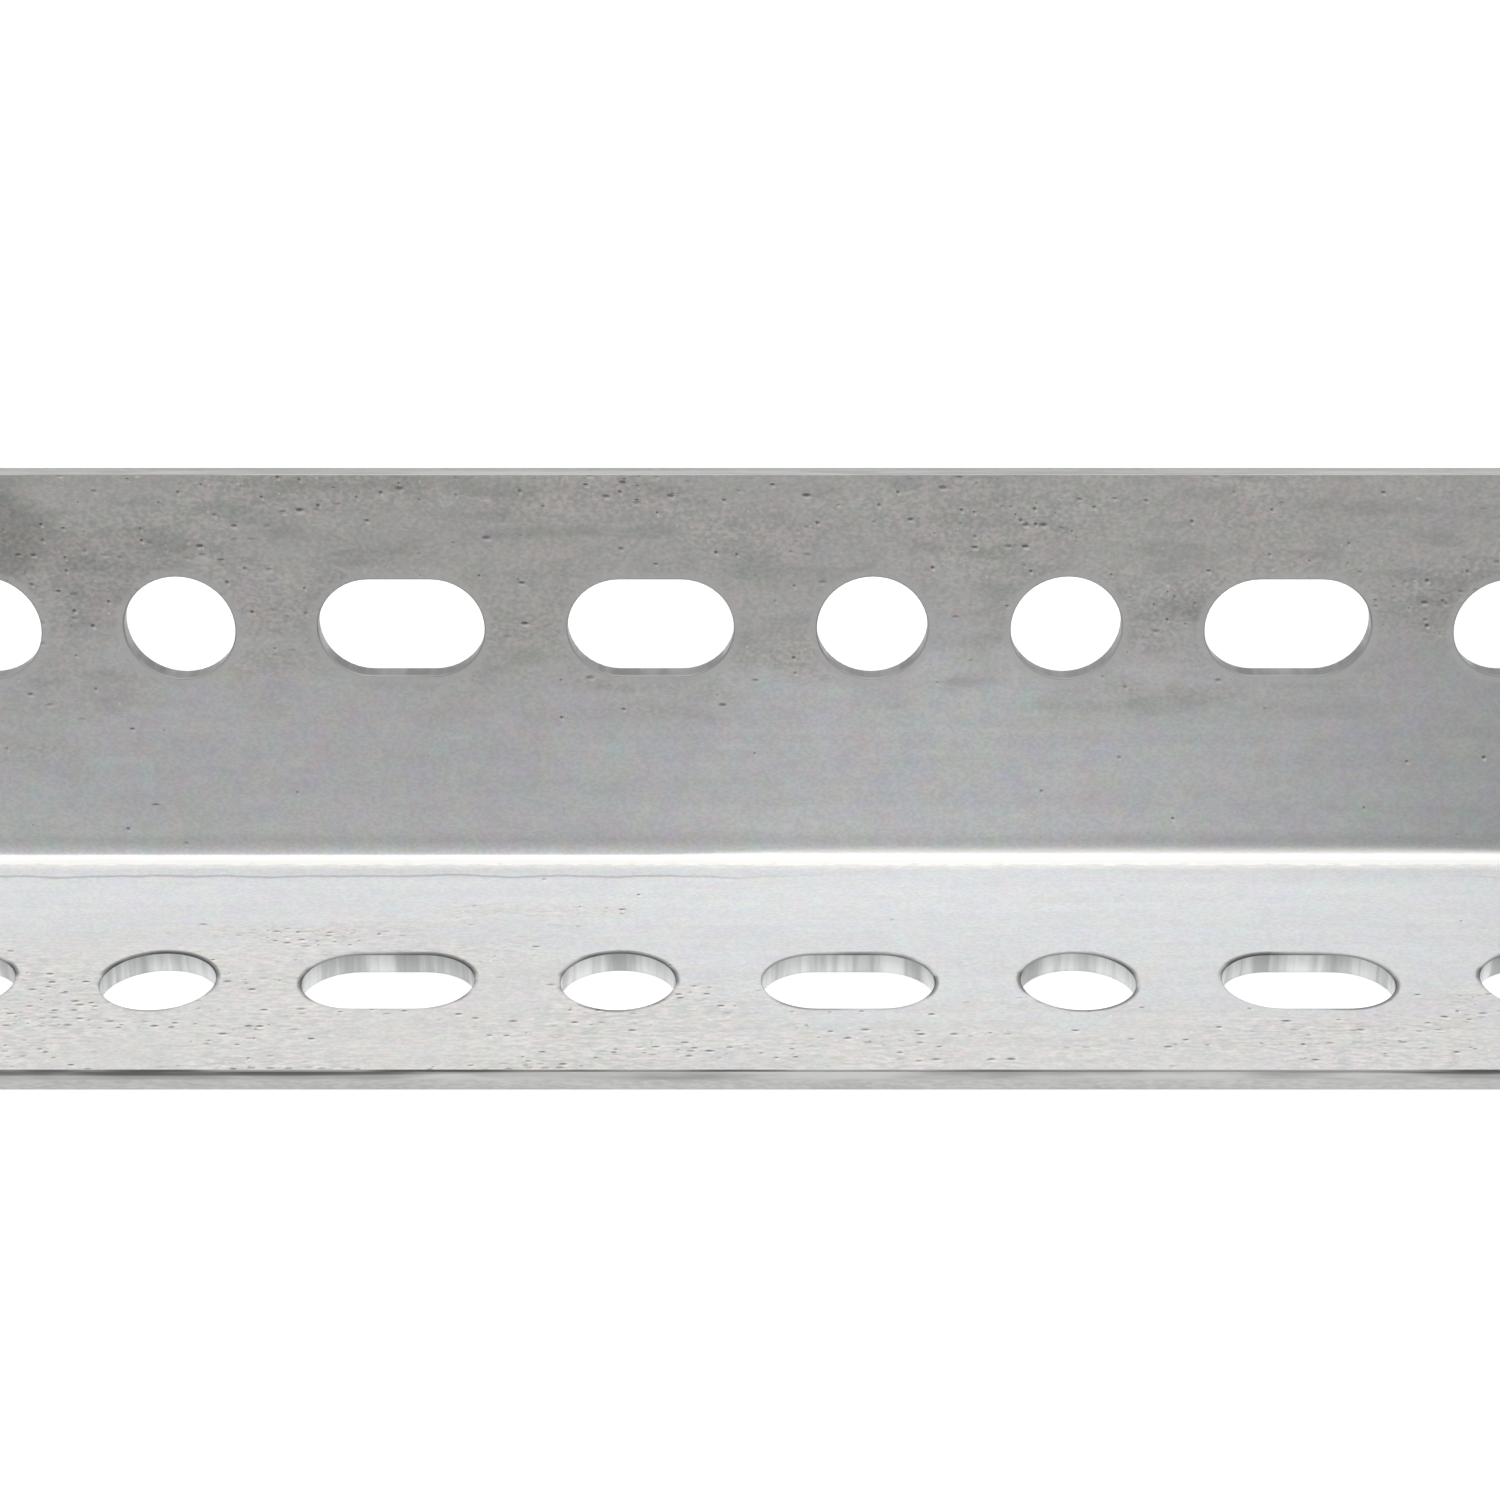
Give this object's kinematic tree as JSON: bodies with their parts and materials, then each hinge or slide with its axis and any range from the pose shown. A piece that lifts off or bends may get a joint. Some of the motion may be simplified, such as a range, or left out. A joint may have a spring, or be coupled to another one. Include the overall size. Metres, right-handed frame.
{
  "type": "perforated steel angle",
  "caption": "Length of L-shaped sheet-steel angle with a row of punched round holes and slots along each leg, for bolting up frames, shelves and brackets.",
  "frame": {"origin": "on the surface that the angle lies on, under the middle of its box", "axes": "+X along the length; the lying leg's toe points to -Y; the standing leg is at the back (+Y) and points up (+Z)"},
  "size_m": [0.9144, 0.0382, 0.0381],
  "materials": {
    "zinc_plated_steel": "zinc-plated sheet steel, dull satin, with rolling grain, small dark pits and a few rust specks"
  },
  "bodies": {
    "root": {"perforated_angle": "zinc_plated_steel"}
  },
  "joints": []
}
